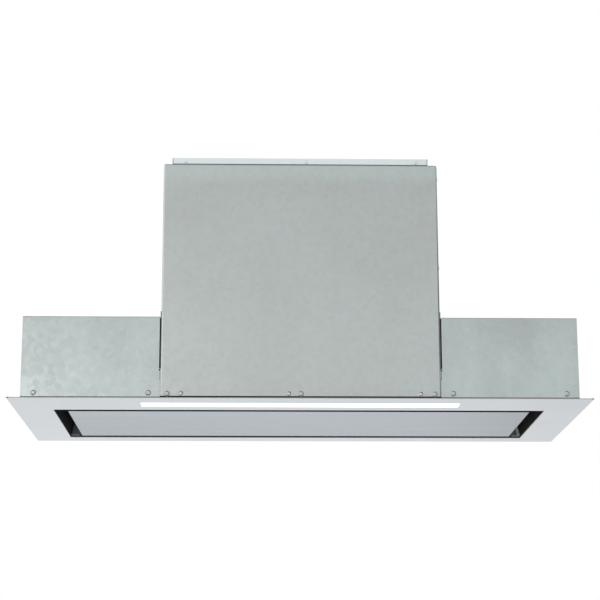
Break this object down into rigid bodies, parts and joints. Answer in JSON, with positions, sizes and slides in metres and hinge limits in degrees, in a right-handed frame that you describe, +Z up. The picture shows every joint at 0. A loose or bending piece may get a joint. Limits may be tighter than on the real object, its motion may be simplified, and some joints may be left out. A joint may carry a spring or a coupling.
{
  "type": "built-in range hood",
  "caption": "Built-in canopy range hood: flat bottom frame with light strip and perimeter suction panel, galvanised body with low wings and a tall blower box, round duct spigot.",
  "frame": {"origin": "centre of the bottom frame's underside", "axes": "+X to the hood's right as seen from the front, +Y to its back, +Z up to the duct"},
  "size_m": [0.86, 0.38, 0.405],
  "materials": {
    "frame_paint": "pale grey satin powder coat",
    "black_foam": "closed-cell foam strip",
    "galvanised_wing": "hot-dip galvanised, fine spangle",
    "galvanised_box": "galvanised, smooth matt",
    "galvanised_bright": "galvanised, bright",
    "black_enamel": "satin black",
    "filter_aluminium": "rolled",
    "filter_mesh": "expanded mesh pack",
    "black_plastic": "moulded, fine grain",
    "opal_lens": "opal, lit",
    "zinc_plated": "bright zinc plated",
    "board_white": "solder mask",
    "led_phosphor": "phosphor",
    "white_plastic": "moulded",
    "brushed_panel": "satin, fine grain",
    "magnet_block": "moulded",
    "blower_plastic": "moulded, flame-retardant",
    "wheel_plastic": "moulded",
    "motor_steel": "pressed steel can",
    "screw_steel": "zinc plated",
    "flap_plastic": "moulded",
    "control_plastic": "moulded",
    "board_green": "solder mask",
    "component_blue": "relays and transformer"
  },
  "bodies": {
    "housing": {"bottom_frame": "frame_paint", "rim_seal": "black_foam", "left_wing_casing": "galvanised_wing", "right_wing_casing": "galvanised_wing", "left_end_plate": "galvanised_wing", "right_end_plate": "galvanised_wing", "left_box_side": "galvanised_box", "right_box_side": "galvanised_box", "rear_panel": "galvanised_box", "top_plate": "galvanised_bright", "front_cover": "galvanised_box", "plenum_floor": "galvanised_box", "suction_funnel": "black_enamel", "left_filter_frame": "filter_aluminium", "right_filter_frame": "filter_aluminium", "left_filter_mesh": "filter_mesh", "right_filter_mesh": "filter_mesh", "light_lens": "opal_lens", "light_housing": "zinc_plated", "led_board": "board_white", "led_chips": "led_phosphor", "led_driver": "white_plastic", "catch_magnets": "magnet_block", "left_blower_casing": "blower_plastic", "right_blower_casing": "blower_plastic", "inlet_guard": "blower_plastic", "motor": "motor_steel", "motor_bearings": "zinc_plated", "motor_spider": "zinc_plated", "inlet_screws": "screw_steel", "run_capacitor": "white_plastic", "outlet_collar": "black_plastic", "collar_screws": "screw_steel", "casing_screws": "screw_steel", "cover_screws": "screw_steel", "wing_screws": "screw_steel", "rear_screws": "screw_steel", "lip_rivets": "screw_steel", "control_box": "control_plastic", "control_box_lid": "control_plastic", "circuit_board": "board_green", "circuit_components": "component_blue", "cable_gland": "black_plastic"},
    "panel": {"perimeter_panel": "brushed_panel", "panel_stiffeners": "galvanised_box", "panel_strike_plates": "zinc_plated", "panel_hinge_lugs": "zinc_plated", "panel_hinge_pins": "zinc_plated"},
    "fan": {"fan_wheel": "wheel_plastic", "fan_blades": "wheel_plastic", "fan_rings": "wheel_plastic", "motor_shaft": "zinc_plated"},
    "front_flap": {"front_flap": "flap_plastic"},
    "rear_flap": {"rear_flap": "flap_plastic"},
    "left_catch": {"left_filter_catch": "black_plastic"},
    "right_catch": {"right_filter_catch": "black_plastic"}
  },
  "joints": [
    {"name": "panel_hinge", "type": "hinge", "parent": "housing", "child": "panel", "pos_m": [0, 0.147, 0.007], "axis": [1, 0, 0], "range_deg": [0, 80]},
    {"name": "fan_spin", "type": "hinge", "parent": "housing", "child": "fan", "pos_m": [0, -0.04, 0.2], "axis": [1, 0, 0], "continuous": true},
    {"name": "front_flap_hinge", "type": "hinge", "parent": "housing", "child": "front_flap", "pos_m": [0, 0.058, 0.38], "axis": [-1, 0, 0], "range_deg": [0, 78]},
    {"name": "rear_flap_hinge", "type": "hinge", "parent": "housing", "child": "rear_flap", "pos_m": [0, 0.066, 0.38], "axis": [1, 0, 0], "range_deg": [0, 78]},
    {"name": "left_catch_slide", "type": "slide", "parent": "housing", "child": "left_catch", "axis": [0, 1, 0], "range_m": [0, 0.007], "stiffness_N_per_m": 300, "springref_m": -0.004},
    {"name": "right_catch_slide", "type": "slide", "parent": "housing", "child": "right_catch", "axis": [0, 1, 0], "range_m": [0, 0.007], "stiffness_N_per_m": 300, "springref_m": -0.004}
  ]
}
